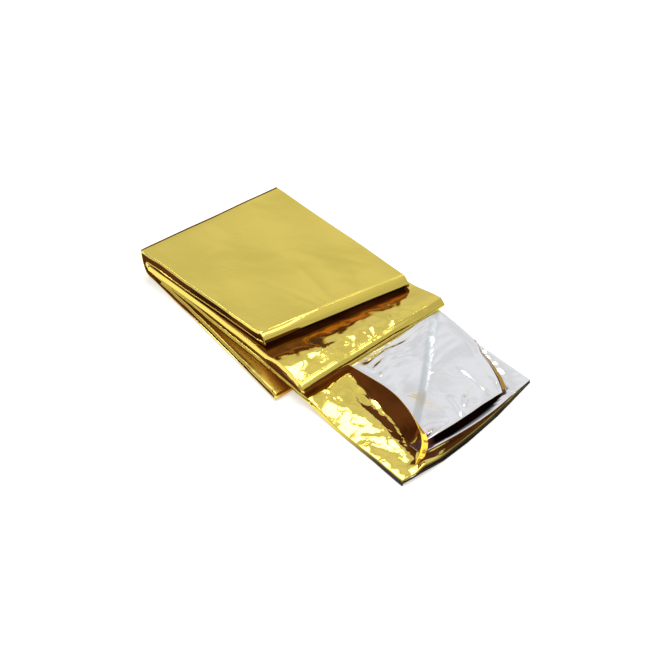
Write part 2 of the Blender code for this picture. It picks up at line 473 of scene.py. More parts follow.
# Creases pressed or pinched into the film by hand. They stand up from the gold side, or go into
# it where the height is below 0.
creases = {
    # from x, y, to x, y, width, height
    "top run": (
        (62.0, 30.0, 113.0, 44.0, 2.6, 0.08),
        (70.0, 58.0, 116.0, 50.0, 3.0, -0.08),
        (88.0, 84.0, 117.0, 66.0, 2.4, 0.09),
        (52.0, 66.0, 96.0, 92.0, 4.0, 0.07),
    ),
    "third run": (
        (134.0, 13.0, 151.0, 26.0, 1.9, 0.5),
        (139.0, 30.0, 147.0, 12.0, 1.5, 0.45),
        (138.0, 44.0, 156.0, 32.0, 2.4, 0.5),
        (152.0, 49.0, 144.0, 30.0, 1.8, 0.45),
        (137.0, 58.0, 155.0, 47.0, 2.2, 0.48),
        (136.0, 73.0, 151.0, 64.0, 1.8, 0.34),
        (154.0, 10.0, 147.0, -5.0, 1.2, 0.45),
        (146.0, 4.0, 158.0, 14.0, 1.2, 0.4),
        (124.0, 90.0, 146.0, 70.0, 2.2, 0.2),
    ),
    "open run": (
        (165.0, 14.0, 196.0, 10.0, 1.8, 0.4),
        (190.0, 12.0, 240.0, 1.0, 1.6, 0.4),
        (194.0, 20.5, 233.0, 7.4, 1.5, 0.62),
        (208.0, 18.6, 240.0, 9.6, 1.4, 0.62),
        (182.0, 22.5, 200.0, 17.0, 1.6, 0.5),
        (243.0, 18.0, 248.5, 33.0, 1.6, 0.6),
        (245.5, 8.0, 249.5, 22.0, 1.4, 0.4),
        (238.0, 30.0, 246.0, 38.0, 1.5, 0.5),
        (236.0, 47.0, 243.0, 57.0, 1.5, 0.4),
        (243.0, 40.0, 239.0, 58.0, 1.3, 0.45),
    ),
    "turned film": (
        (151.0, 94.5, 234.5, 15.5, 1.6, 0.05),
        (149.0, 92.0, 232.0, 13.0, 2.6, -0.15),
        (188.0, 76.0, 225.0, 71.0, 1.9, 0.42),
        (207.0, 54.0, 231.0, 46.0, 2.4, 0.46),
        (214.0, 60.0, 224.0, 52.0, 2.2, 0.40),
        (207.0, 82.0, 222.5, 79.5, 1.4, -0.45),
    ),
}
creaseShape = {"waver": 0.6, "waves": 5.0, "fade": 0.25}
seenFrom = {"third run": (118.0, 16.0), "inner run": (100.0, 12.0)}  # where crinkles start
foldCrinkle = {"crumple": 0.35, "fine": 0.25, "length": 12.0}
farCrinkle = {"less": 0.85, "part": (0.74, 0.14)}  # across the third run
crinkleRise = 0.8  # the film stands up by this share of its crinkles
pocket = {
    "x": 166.7,  # the open run is smoother beyond a line through here
    "y": 23.0,
    "slope": -0.286,
    "less": 0.6,
    "fade": 5.0,
    "foldFade": 7.0,  # beside the turned film
    "margin": 11.0,  # of the cut end, crinkled again
    "marginFade": 4.0,
    "marginShare": 0.5,
}


def pressed(x, y, name):
    # the height that a part's creases give at each place
    total = np.zeros_like(x)
    for x0, y0, x1, y1, width, height in creases.get(name, ()):
        dx = x1 - x0
        dy = y1 - y0
        length = math.hypot(dx, dy)
        along = ((x - x0) * dx + (y - y0) * dy) / length**2
        off = ((x - x0) * dy - (y - y0) * dx) / length
        off = off + creaseShape["waver"] * np.sin(along * creaseShape["waves"] + x0)
        fade = fadeEnds(along, creaseShape["fade"])
        total = total + height * fade * np.maximum(0.0, 1.0 - np.abs(off) / width)
    return total


def crinkles(rows, points, columnShares):
    # how far each point of the strip moves off its smooth surface, and how crinkled it is
    moved = np.zeros(points.shape[:2])
    fine = np.zeros(points.shape[:2])
    for r, row in enumerate(rows):
        number = row["number"]
        run = runs[number]
        x = points[r, :, 0]
        y = points[r, :, 1]
        high = run["crumple"]
        small = run["fine"]
        shown = 1.0
        if row["kind"] == "fold":
            after = runs[number + 1]
            high = mix(run["crumple"], after["crumple"], row["share"]) * foldCrinkle["crumple"]
            small = mix(run["fine"], after["fine"], row["share"]) * foldCrinkle["fine"]
        if run["name"] in seenFrom:
            start, length = seenFrom[run["name"]]
            shown = ramp(x, start, length)
            small = small * softStep((x - start - length) / length)
        amount = high * crumple(x, y, run["size"], seeds["runs"] + number * seeds["nextRun"])
        byHand = 0.0 * x
        if row["kind"] == "run":
            byHand = pressed(x, y, run["name"])
            # towards a pressed fold the film is smoother
            if run["name"] in ("third run", "top run"):
                toFold = endX(ends[number + 1], 0.5) - x
                toFold = softStep(toFold / foldCrinkle["length"])
                smoother = mix(foldCrinkle["crumple"], 1.0, toFold)
                amount = amount * smoother
                byHand = byHand * smoother
            if run["name"] == "third run":
                less = farCrinkle["less"] * ramp(columnShares, *farCrinkle["part"])
                amount = amount * (1.0 - less)
        if number == openRun:
            # no crinkles where the turned film lies on it, and few under the arch
            shown = ramp(pastInnerFold(x, y), 0.5, pocket["foldFade"])
            line = pocket["y"] + pocket["slope"] * (x - pocket["x"])
            plain = 1.0 - pocket["less"] * softStep((y - line + 1.0) / pocket["fade"])
            cutEnd = ends[-1]
            width = cutEnd["farY"] - cutEnd["nearY"]
            across = np.clip((y - cutEnd["nearY"]) / width, 0.0, 1.0)
            margin = softStep((x - endX(cutEnd, across) + pocket["margin"]) / pocket["marginFade"])
            plain = np.maximum(plain, pocket["marginShare"] * margin)
            amount = amount * plain
            small = small * plain**2
        moved[r] = shown * (amount + byHand + crinkleRise * high)
        fine[r] = small
    return moved, fine


def pastLine(x, y, start, end):
    # how far a place is on the near side of a line between two points
    wayX = end[0] - start[0]
    wayY = end[1] - start[1]
    return ((x - start[0]) * wayY - (y - start[1]) * wayX) / math.hypot(wayX, wayY)


def pastInnerFold(x, y):
    return pastLine(x, y, lowerLayer["innerStart"], lowerLayer["innerEnd"])


def perRow(rows, value):
    return np.array([value(row) for row in rows])[:, None]


def waverEdges(points, number, across):
    # the near edges waver, most where the pack is crushed
    x = points[..., 0]
    nearness = softStep((film["waverWidth"] - across) / film["waverWidth"])[None]
    waver = facets(x, 31.0 * number + 0.0 * x, film["waverLength"], seeds["waver"])
    upDown = facets(x, 47.0 * number + 0.0 * x, film["waverLength"], seeds["upDown"])
    crushed = softStep((pack["crushedTo"] - x) / pack["crushedLength"])
    for where, start, length in pack["corners"]:
        crushed = crushed + ramp(x, start, length) * (number == where)
    amount = film["waver"] * (1.0 + pack["crushed"] * crushed)
    points[..., 1] += nearness * waver * amount
    points[..., 2] += nearness * upDown * amount * film["waverUp"]


def fanOut(points, opened, across, layer):
    # the cut end's layers stand up one over the other
    shape = openShape
    fromEnd = (1.0 - opened) * (endX(ends[-1], across) - endX(ends[-2], across))[None]
    margin = mix(shape["nearMargin"], shape["farMargin"], across)[None]
    toTip = softStep((shape["tipTo"] - across) / shape["tipTo"])
    tip = (shape["tipLeast"] + shape["endTip"] * toTip)[None] * margin
    curl = np.clip((margin - fromEnd) / (margin - tip), 0.0, 1.0) * margin / shape["nearMargin"]
    curl = curl * ramp(across[None], *shape["lift"])
    curl = np.where(opened > 0.0, curl, 0.0)
    topLift, secondLift, thirdLift, lowestLift = shape["layerLifts"]
    lifts = [topLift, secondLift, thirdLift]
    lifts = np.select([layer == 1, layer == 2, layer == 3], lifts, lowestLift)
    points[..., 2] += shape["endLift"] * curl * lifts
    # and the top one's edge is a little ragged
    y = points[..., 1]
    ragged = shape["ragged"] * ramp(across, *shape["raggedPart"])[None]
    ragged = ragged * facets(y, 5.0 + 0.0 * y, shape["raggedSize"], seeds["ragged"])
    atEnd = (opened > 0.99) & (layer == 1)
    points[..., 0] += np.where(atEnd, ragged - shape["raggedBack"], 0.0)
    hanging = np.maximum(0.0, points[..., 2] - shape["hemLeast"])
    hanging = np.minimum(shape["hem"], hanging)
    points[..., 2] -= np.where((opened >= 1.0) & (layer == 1), hanging, 0.0)


def makeStrip(rows, columns):
    across = columns["across"]
    layer = columns["layer"]
    centre = np.array([rowLine(row, across) for row in rows])
    step = 0.01
    ahead = np.array([rowLine(row, np.clip(across + step, 0.0, 1.0)) for row in rows])
    behind = np.array([rowLine(row, np.clip(across - step, 0.0, 1.0)) for row in rows])
    side = unit(ahead - behind)
    forward = unit(np.diff(centre, axis=0))
    forward = np.concatenate([forward[:1], forward, forward[-1:]])
    along = unit(forward[:-1] + forward[1:])
    out = unit(np.cross(along, side))
    thick = perRow(rows, lambda row: row["thick"]) - film["thickness"]
    moved, fine = crinkles(rows, centre, across)
    # only the top layer and its near wrap are crinkled
    follow = np.where(layer == 1, columns["height"] + 0.5, 0.0)
    # a near wrap may hang down over the runs below
    number = perRow(rows, lambda row: row["number"])
    opened = perRow(rows, lambda row: row["share"] if row["number"] == openRun else 0.0)
    wall = perRow(rows, lambda row: runs[row["number"]]["wall"] if row["kind"] == "run" else 1.0)
    wall = wall + openShape["wallMore"] * ramp(opened, *openShape["wall"])
    wraps = (columns["way"] < 0.0) & (layer == 1)
    upright = number == topRun
    straightOut, straightDown = foldProfile(columns["wrapped"], uprightWrap)
    down = np.where(upright, straightDown, 0.5 - columns["height"])
    height = np.where(wraps, 0.5 - down * wall, columns["height"])
    straightOut = film["uprightBulge"] * straightOut
    outward = np.where(wraps & upright, straightOut, columns["outward"])
    upDown = height * thick + moved * follow
    points = centre + out * upDown[..., None]
    points = points + side * (columns["way"] * outward * thick)[..., None]
    waverEdges(points, number, across)
    fanOut(points, opened, across, layer)
    return withWaves(points), fine


# The film turned over at the far edge of the open run
turned = {
    "columns": 84,
    "pleatColumns": 24,
    "pleatPower": 1.5,  # its columns are closer at the far edge
    "turnColumns": 5,
    "lipColumns": 7,
    "lipWay": (0.6, 0.78, -0.2),  # that its folded lip at the free edge points
    "pleatGap": 0.45,
    "edgeLift": 0.5,
    "edgeOver": 0.1,
    "frontLift": 1.9,
    "frontPart": (0.4, 0.6),
    "frontOver": 0.3,
    # how far its front edge is set back, from its far edge to the free one
    "frontSetBack": ((0.0, 0.0), (0.08, 0.6), (0.16, 1.0), (0.34, 2.4), (0.52, 4.6), (0.66, 6.9),
                     (0.77, 8.6), (0.86, 8.2), (0.94, 4.6), (1.0, 0.0)),
    "creaseFar": (148.0, 94.0),  # it bends up along a line between these points
    "creaseNear": (231.0, 10.0),
    "creaseLeast": 12.0,
    "creasePower": 1.05,
    "bandWidth": 4.4,  # of the pressed crease along that line
    "slitAt": 0.42,  # the share of the run where its far edge comes away
    "crumple": 0.06,
    "size": 15.0,
    "fade": 0.1,
    "creaseFade": 0.08,
}

# The lip at its far edge rolls up past the slit: a flat part, then half a turn
farLip = {"radius": 0.2, "radiusMore": 0.3, "flat": 2.2, "flatPower": 1.4, "flatShare": 0.4}

# The lip of its free edge is folded over most near the front corner
freeLip = {
    "reach": 0.15,
    "reachMore": 3.0,
    "radius": 0.12,
    "radiusMore": 0.4,
    "folded": (0.74, 0.16),
    "unfolded": (0.94, 0.06),
    "back": 0.6,
    "roundShare": 0.6,
}

# Its free edge stands up in an arch
arch = records(
    "share x y z",
    (0.00, 155.5, 25.8, 7.8),
    (0.16, 169.0, 25.9, 9.1),
    (0.40, 191.3, 25.2, 11.1),
    (0.60, 210.0, 20.8, 13.0),
    (0.78, 227.0, 15.0, 12.6),
    (0.90, 239.5, 8.4, 9.4),
    (1.00, 248.5, -3.5, 4.4),
)

# Its far edge leaves the run's far fold and comes in to the front
farBoundary = records(
    "share inwards",
    (0.00, 0.0),
    (0.42, 0.0),
    (0.56, 4.4),
    (0.71, 7.6),
    (0.88, 12.6),
    (1.00, 17.5),
)

# The lower layer of the pleat, from the far fold to its own inner fold
lowerLayer = {
    "innerStart": (143.0, 94.5),
    "innerEnd": (238.0, 8.0),
    "bow": 4.0,  # of its front edge
    "short": 9.0,  # how much shorter the middle layer is
    "shown": (0.5, 2.5),
    "rise": 0.35,  # of the part that shows, and its crinkles
    "crumple": 0.17,
    "size": 9.0,
    # how much of its edge is light: share of the way from the far edge, millimetres
    "edge": ((0.0, 7.0), (0.12, 7.0), (0.25, 5.0), (0.38, 1.3), (0.8, 1.1), (0.92, 2.5),
             (1.0, 3.5)),
}


def smoothCurve(table, share, name):
    # a smooth curve through a table's rows
    row = 0
    while row < len(table) - 2 and share > table[row + 1]["share"]:
        row += 1
    here = table[row]
    after = table[row + 1]
    before = table[max(row - 1, 0)]
    later = table[min(row + 2, len(table) - 1)]
    span = after["share"] - here["share"]
    t = (share - here["share"]) / span
    slopeIn = (after[name] - before[name]) / max(after["share"] - before["share"], 1e-9) * span
    slopeOut = (later[name] - here[name]) / max(later["share"] - here["share"], 1e-9) * span
    return (
        here[name] * (2 * t**3 - 3 * t**2 + 1)
        + after[name] * (3 * t**2 - 2 * t**3)
        + slopeIn * (t**3 - 2 * t**2 + t)
        + slopeOut * (t**3 - t**2)
    )


def pastCrease(x, y):
    return pastLine(x, y, turned["creaseFar"], turned["creaseNear"])


def runLevelAt(x, y, share):
    near = runLine(openRun, share, np.array([0.0]))[0]
    far = runLine(openRun, share, np.array([1.0]))[0]
    across = np.clip((y - near[1]) / (far[1] - near[1]), 0.0, 1.0)
    return levelAt(runs[openRun], x, across)


# Wrinkles of the turned film that run beside the middle fold
ripples = {
    "height": 0.20,
    "length": 6.5,
    "fadeIn": 4.0,
    "reach": 40.0,
    "fadeOut": 20.0,
    "nearY": 26.0,
    "nearFade": 8.0,
    "farY": 94.0,
    "farFade": 14.0,
    "waver": 1.3,
    "fine": 0.3,
    "fineLength": 0.43,
    "fineSlant": 0.04,
    "swell": 1.0,
    "swellLength": 13.0,
    "swellTo": 60.0,
    "swellFade": 40.0,
}


def rippled(x, y):
    share = (y - middleFold["nearY"]) / (middleFold["farY"] - middleFold["nearY"])
    away = x - mix(middleFold["nearX"], middleFold["farX"], share)
    swelling = ripples["swell"] * softStep(away / ripples["swellLength"])
    away = away + ripples["waver"] * np.sin(y * 0.17)
    wave = np.sin(2.0 * math.pi * away / ripples["length"])
    wave = wave * (0.6 + 0.4 * np.sin(y * 0.31 + away * 0.2))
    fineLength = ripples["fineLength"] * ripples["length"]
    slanted = away + ripples["fineSlant"] * y
    wave = wave + ripples["fine"] * np.sin(2.0 * math.pi * slanted / fineLength)
    shown = softStep(away / ripples["fadeIn"])
    shown = shown * softStep((ripples["reach"] - away) / ripples["fadeOut"])
    shown = shown * softStep((y - ripples["nearY"]) / ripples["nearFade"])
    shown = shown * softStep((ripples["farY"] - y) / ripples["farFade"])
    swelling = swelling * softStep((ripples["swellTo"] - away) / ripples["swellFade"])
    return ripples["height"] * wave * shown + swelling


def halfTurn(place, reach, height, steps):
    # points round a narrow fold, without its two ends
    x, y, z = place
    angles = [math.pi * step / steps for step in range(1, steps)]
    return [(x, y + reach * math.sin(angle), z + height * (0.5 - 0.5 * math.cos(angle)))
            for angle in angles]


def farLipLine(place, share, gap):
    # joined to the pleat, or rolled up where the edge has come away
    x, y, z = place
    away = max(0.0, (share - turned["slitAt"]) / (1.0 - turned["slitAt"]))
    radius = farLip["radius"] + farLip["radiusMore"] * away
    flat = farLip["flat"] * away ** farLip["flatPower"]
    flatShare = farLip["flatShare"]
    line = []
    for step in range(turned["lipColumns"]):
        t = step / turned["lipColumns"]
        if share <= turned["slitAt"]:
            angle = math.pi * (1.0 - t)
            down = gap * (0.5 - 0.5 * math.cos(angle))
            line.append((x, y + 0.5 * gap * math.sin(angle), z - down))
        elif t < flatShare:
            line.append((x, y - flat * (1.0 - t / flatShare), z + 2.0 * radius))
        else:
            angle = math.pi * (1.0 - (t - flatShare) / (1.0 - flatShare))
            line.append((x, y + radius * math.sin(angle), z + radius * (1.0 - math.cos(angle))))
    return line


def freeLipLine(place, share):
    fold = ramp(share, *freeLip["folded"])
    fold = float(fold * (1.0 - freeLip["back"] * ramp(share, *freeLip["unfolded"])))
    reach = freeLip["reach"] + freeLip["reachMore"] * fold
    radius = freeLip["radius"] + freeLip["radiusMore"] * fold
    way = unit(np.array(turned["lipWay"]))
    roundShare = freeLip["roundShare"]
    line = []
    for step in range(1, turned["lipColumns"] + 1):
        t = step / turned["lipColumns"]
        if t > roundShare:
            back = way * reach * (t - roundShare) / (1.0 - roundShare)
            line.append(place + back + np.array([0.0, 0.0, 2.0 * radius]))
        else:
            angle = math.pi * t / roundShare
            up = np.array([0.0, 0.0, radius * (1.0 - math.cos(angle))])
            line.append(place - way * radius * math.sin(angle) + up)
    return line


def pleatShares():
    return np.linspace(0.0, 1.0, turned["pleatColumns"] + 1) ** turned["pleatPower"]


def turnedRow(share):
    # one line of the turned film: far fold, pleat, lip at its far edge, and the film itself
    far = runLine(openRun, share, np.array([1.0]))[0]
    top = runs[openRun]["thick"] / 2.0 - film["thickness"] / 2.0
    gap = turned["pleatGap"]
    # round the far fold, up from the run's top layer
    line = halfTurn((far[0], far[1], far[2] + top), 0.5 * gap, gap, turned["turnColumns"])
    # the lower layer, silver up, to its inner fold
    inwards = smoothCurve(farBoundary, share, "inwards")
    innerX = mix(lowerLayer["innerStart"][0], lowerLayer["innerEnd"][0], share)
    innerY = mix(lowerLayer["innerStart"][1], lowerLayer["innerEnd"][1], share)
    bow = lowerLayer["bow"] * share**4
    t = pleatShares()
    x = mix(far[0], innerX, t) + bow * np.sin(math.pi * t)
    y = mix(far[1], innerY, t)
    shown = softStep(t / 0.01) * ramp(inwards - (far[1] - y), *lowerLayer["shown"])
    bent = lowerLayer["crumple"] * crumple(x, y, lowerLayer["size"], seeds["pleat"])
    z = runLevelAt(x, y, share) + top + gap + shown * (lowerLayer["rise"] + bent)
    line = line + list(zip(x, y, z))
    # its inner fold
    line = line + halfTurn(line[-1], -0.5 * gap, gap, turned["turnColumns"])
    # back outwards, gold up, a little shorter at the front than the layer below
    outX = far[0]
    outY = far[1] - inwards
    t = t[::-1]
    x = mix(outX, innerX, t) + bow * np.sin(math.pi * t) - lowerLayer["short"] * share**6
    y = mix(outY, innerY, t)
    line = line + list(zip(x, y, runLevelAt(x, y, share) + top + 2.0 * gap))
    middleEnd = len(line)
    # the turned film from its far edge to its free edge
    freeX, freeY, freeZ = (smoothCurve(arch, share, name) for name in ("x", "y", "z"))
    t = np.linspace(0.0, 1.0, turned["columns"] + 1)
    x = mix(outX, freeX, t) - np.interp(t, *zip(*turned["frontSetBack"])) * share**5
    y = mix(outY, freeY, t)
    flat = runLevelAt(x, y, share) + top + 3.0 * gap
    flat = flat + turned["edgeLift"] * softStep(t / turned["edgeOver"])
    lifted = turned["frontLift"] * ramp(share, *turned["frontPart"])
    flat = flat + lifted * softStep(t / turned["frontOver"])
    width = pastCrease(freeX, freeY)
    rising = max(turned["creaseLeast"], width)
    rise = np.clip((pastCrease(x, y) - width + rising) / rising, 0.0, 1.0)
    z = mix(flat, np.maximum(freeZ, flat), rise ** turned["creasePower"])
    z = z + pressed(x, y, "turned film") * fadeEnds(t, turned["creaseFade"])
    bent = turned["crumple"] * crumple(x, y, turned["size"], seeds["turned"])
    z = z + (bent + rippled(x, y)) * fadeEnds(t, turned["fade"])
    sheet = np.stack([x, y, z], axis=-1)
    line = line + farLipLine((outX, outY, sheet[0, 2]), share, gap)
    line = line + list(sheet) + freeLipLine(sheet[-1], share)
    return line, middleEnd


# Where painted shade or painted reflection goes on the film, or it is duller: shares of the way
# round, along or across, unless it says so
shades = {
    "underFrom": 0.75,  # round the top fold, then all along the run under it
    "underTo": 0.98,
    "topWrap": 0.4,
    "topHaze": 0.8,  # pressed flat for long, but at its near end
    "topHazePart": (0.3, 0.25),
    "sharpFrom": 0.38,  # across the top fold
    "inner": (0.008, 0.012),  # the inner run's near end lies in the light off the film over it
    "layersFrom": 0.96,  # of the open run, dark between its layers
    "endFrom": 0.99,
    "end": 0.9,
    "endPart": (0.16, 0.2),
    "corner": (0.2, 0.6),  # and down its wrap towards the corner
    "cornerWrap": 0.22,
    "lips": 0.3,  # of the turned film
    "bandFade": 1.2,  # of its pressed crease, millimetres
    "pleatFront": 0.6,  # millimetres
    "pleatFar": 1.4,  # millimetres
    "pleatTo": 0.93,
    "pleatOver": 0.05,
    "cornerLight": 3.4,  # millimetres
}


def stripLooks(rows, columns):
    # where the strip gets painted amber reflection, is duller, gets painted shade, or gets painted
    # shade and glow as other film sees it
    across = columns["across"]
    top = columns["layer"] == 1
    wraps = (columns["way"] < 0.0) & top
    paintedReflection, haze, shaded = np.zeros((3, len(rows), len(across)))
    foldShadeAndGlow = np.ones((len(rows), len(across)))
    for r, row in enumerate(rows):
        number = row["number"]
        share = row["share"]
        isFold = row["kind"] == "fold"
        # the middle fold gets no painted shade in reflections, so the silver film mirrors it yellow
        if isFold and ends[number + 1] is middleFold:
            foldShadeAndGlow[r] = 0.0
        under = isFold and number == topRun and share > shades["underFrom"]
        if under or (number == topRun + 1 and not isFold):
            shaded[r] = np.where(top & ~wraps & (across < shades["underTo"]), 1.0, 0.0)
        if number == topRun and share < shades["underFrom"]:
            shaded[r] = np.where(wraps, shades["topWrap"], 0.0)
        if number == topRun and (isFold or share > 0.99):
            haze[r] = shades["topHaze"] * ramp(across, *shades["topHazePart"]) * top
        if number == 0:
            # painted amber reflection of the film over it, and duller there too
            paintedReflection[r] = ramp(across, *shades["inner"]) * top
            haze[r] = paintedReflection[r]
        if number == openRun:
            if share > shades["layersFrom"]:
                shaded[r] = np.where(top, 0.0, 1.0)
            if share > shades["endFrom"]:
                shaded[r] = shades["end"] * ramp(across, *shades["endPart"])
            if share >= 1.0:
                shaded[r] = 1.0
            corner = wraps * softStep(columns["wrapped"] / shades["cornerWrap"])
            shaded[r] = np.maximum(shaded[r], corner * ramp(share, *shades["corner"]))
    return {"paintedReflection": paintedReflection, "haze": haze, "foldShadeAndGlow": foldShadeAndGlow, "shaded": shaded}


def turnedLooks(sheet, shares, middleEnd):
    # the same for the turned film, with its crinkles
    lipWidth = turned["lipColumns"]
    paintedReflection, haze, shaded = np.zeros((3, *sheet.shape[:2]))
    # painted amber reflection on the rolled lips of its far and free edges
    paintedReflection[:, middleEnd:middleEnd + lipWidth] = 1.0
    paintedReflection[:, -lipWidth:] = 1.0
    off = np.abs(pastCrease(sheet[..., 0], sheet[..., 1]))
    haze[:] = softStep((turned["bandWidth"] / 2.0 - off) / shades["bandFade"] + 0.5)
    haze[:, :middleEnd + lipWidth] = 0.0
    # painted shade inside the pleat, but for an edge of the lower layer
    start = turned["turnColumns"] - 1
    pleat = start + turned["pleatColumns"] + 1
    t = pleatShares()
    edge = np.interp(t, *zip(*lowerLayer["edge"]))
    length = sheet[-1, start:pleat, 0] - sheet[0, start:pleat, 0]
    share = np.array(shares)[:, None]
    fromFront = (1.0 - share) * length[None]
    inwards = np.array([smoothCurve(farBoundary, here, "inwards") for here in shares])[:, None]
    fromFar = sheet[:, start:start + 1, 1] - sheet[:, start:pleat, 1]
    beside = ramp(share, shades["pleatTo"], shades["pleatOver"])
    under = fromFar - inwards - shades["pleatFront"] + shades["cornerLight"] * beside
    under = softStep(under / shades["pleatFar"])
    under = under * softStep((shades["pleatTo"] - t[None]) / shades["pleatOver"])
    front = softStep((fromFront - edge[None]) / shades["pleatFront"] + 0.5)
    shaded[:, start:pleat] = front * under
    shaded = np.maximum(shaded, shades["lips"] * paintedReflection)
    crinkle = np.full(sheet.shape[:2], filmLook["turnedCrinkle"])
    # painted shade and glow in reflections all over the turned film
    foldShadeAndGlow = np.ones(sheet.shape[:2])
    return {"crinkle": crinkle, "paintedReflection": paintedReflection, "haze": haze, "foldShadeAndGlow": foldShadeAndGlow,
            "shaded": shaded}


def quads(grid):
    corners = [grid[:-1, :-1], grid[:-1, 1:], grid[1:, 1:], grid[1:, :-1]]
    return np.stack(corners, axis=-1).reshape(-1, 4)


def makeBlanket():
    columns = filmColumns()
    rows = stripRows()
    count = len(columns["across"])
    strip, fine = makeStrip(rows, columns)
    looks = {"crinkle": fine, **stripLooks(rows, columns)}
    grid = np.arange(strip.shape[0] * count).reshape(-1, count)
    faces = [quads(grid)]

    # the turned film is joined to the far edge of the open run, and its edge to the pleat's
    first = next(r for r, row in enumerate(rows) if row.get("opens"))
    shares = [0.0] + [row["share"] for row in rows[first + 1:]]
    lines, middleEnds = zip(*[turnedRow(share) for share in shares])
    middleEnd = middleEnds[0]
    sheet = withWaves(np.array(lines))
    sheetLooks = turnedLooks(sheet, shares, middleEnd)
    sheetGrid = grid.size + np.arange(sheet.shape[0] * sheet.shape[1]).reshape(sheet.shape[:2])
    joined = np.concatenate([grid[first:, :1], sheetGrid[:, :middleEnd]], axis=1)
    faces.append(quads(joined[:, ::-1]))
    faces.append(quads(sheetGrid[:, middleEnd:][:, ::-1]))
    slit = sum(share <= turned["slitAt"] for share in shares)
    faces.append(quads(sheetGrid[:slit, middleEnd - 1:middleEnd + 1][:, ::-1]))

    points = np.concatenate([strip.reshape(-1, 3), sheet.reshape(-1, 3)])
    points = (points - [pack["centreX"], pack["centreY"], 0.0]) * mm
    mesh = bpy.data.meshes.new("foilBlanket")
    mesh.from_pydata(points.tolist(), [], np.concatenate(faces).tolist())
    mesh.update()
    for name, values in looks.items():
        values = np.concatenate([values.reshape(-1), sheetLooks[name].reshape(-1)])
        onPoints = mesh.attributes.new(name, "FLOAT", "POINT")
        onPoints.data.foreach_set("value", values.astype(np.float32))
    mesh.shade_smooth()
    # the top fold's crease is sharp but for its near end
    last = max(r for r, row in enumerate(rows) if row["number"] == topRun and row["kind"] == "run")
    crisp = (columns["layer"] == 1) & (columns["way"] == 0.0)
    crisp = crisp & (columns["across"] > shades["sharpFrom"])
    crispPoints = set((last * count + np.flatnonzero(crisp)).tolist())
    crease = np.array([set(edge.vertices) <= crispPoints for edge in mesh.edges])
    # and so are the film's own edges
    edgeOf = np.zeros(len(mesh.loops), dtype=np.int32)
    mesh.loops.foreach_get("edge_index", edgeOf)
    border = np.bincount(edgeOf, minlength=len(mesh.edges)) == 1
    sharp = mesh.attributes.new("sharp_edge", "BOOLEAN", "EDGE")
    sharp.data.foreach_set("value", crease | border)
    print("film mesh:", len(mesh.vertices), "points,", len(mesh.polygons), "faces")
    return addObject("foilBlanket", mesh)


filmLook = {
    "dimming": 0.85,  # of the light left between the layers at the cut end
    "creaseRoughness": 0.24,  # where it was pressed flat for long
    "roughness": 0.07,
    "bumpHeight": 0.26,  # millimetres
    "cell": 7.5,
    "ridgeWidth": 0.17,  # of a cell
    "turnedCrinkle": 0.10,
}
goldColours = {
    "plain": (0.83, 0.66, 0.13),
    "haze": (0.83, 0.66, 0.13),  # along the pressed crease
    "paintedReflection": (0.68, 0.38, 0.035),  # painted amber reflection, as gold rolled up tight or lying under other film mirrors it
    "shaded": (0.03, 0.02, 0.012),  # between the layers at the cut end
    "foldShadeAndGlow": (0.15, 0.063, 0.017),  # painted shade: the gold as other film sees it in the folds
    # painted shade for the edge-on sheen as other film sees it in the folds
    "edgeOn": (0.45, 0.38, 0.10),
    "deep": (0.078, 0.031, 0.03),  # what is left of the light deep between layers
    "bounces": 0.5,
}
silverColours = {
    "plain": (0.90, 0.905, 0.93),
    "haze": (0.66, 0.69, 0.715),
    "paintedReflection": (0.90, 0.905, 0.93),
    "shaded": (0.035, 0.03, 0.03),
    "foldShadeAndGlow": (0.90, 0.905, 0.93),
    "edgeOn": (1.0, 1.0, 1.0),
    "deep": (0.045, 0.038, 0.036),
    "bounces": 3.5,
}


def addNode(tree, kind, output, inputs, **settings):
    # sockets are linked and other values set, and one of the node's outputs comes back
    node = tree.nodes.new("ShaderNode" + kind)
    for name, value in settings.items():
        setattr(node, name, value)
    for name, value in inputs.items():
        if isinstance(value, bpy.types.NodeSocket):
            tree.links.new(value, node.inputs[name])
        else:
            node.inputs[name].default_value = value
    return node.outputs[output]


def calculate(tree, operation, *values):
    return addNode(tree, "Math", "Value", dict(enumerate(values)), operation=operation)


def mapRange(tree, value, fromMin, fromMax, toMin=0.0, toMax=1.0, **settings):
    inputs = {"Value": value, "From Min": fromMin, "From Max": fromMax, "To Min": toMin,
              "To Max": toMax}
    return addNode(tree, "MapRange", "Result", inputs, **settings)


def blend(tree, factor, a, b):
    # of two colours, given as sockets or as red, green and blue
    a, b = (value if isinstance(value, bpy.types.NodeSocket) else (*value, 1.0) for value in (a, b))
    return addNode(tree, "Mix", "Result", {"Factor": factor, "A": a, "B": b}, data_type="RGBA")


def attribute(tree, name):
    return addNode(tree, "Attribute", "Fac", {}, attribute_name=name)


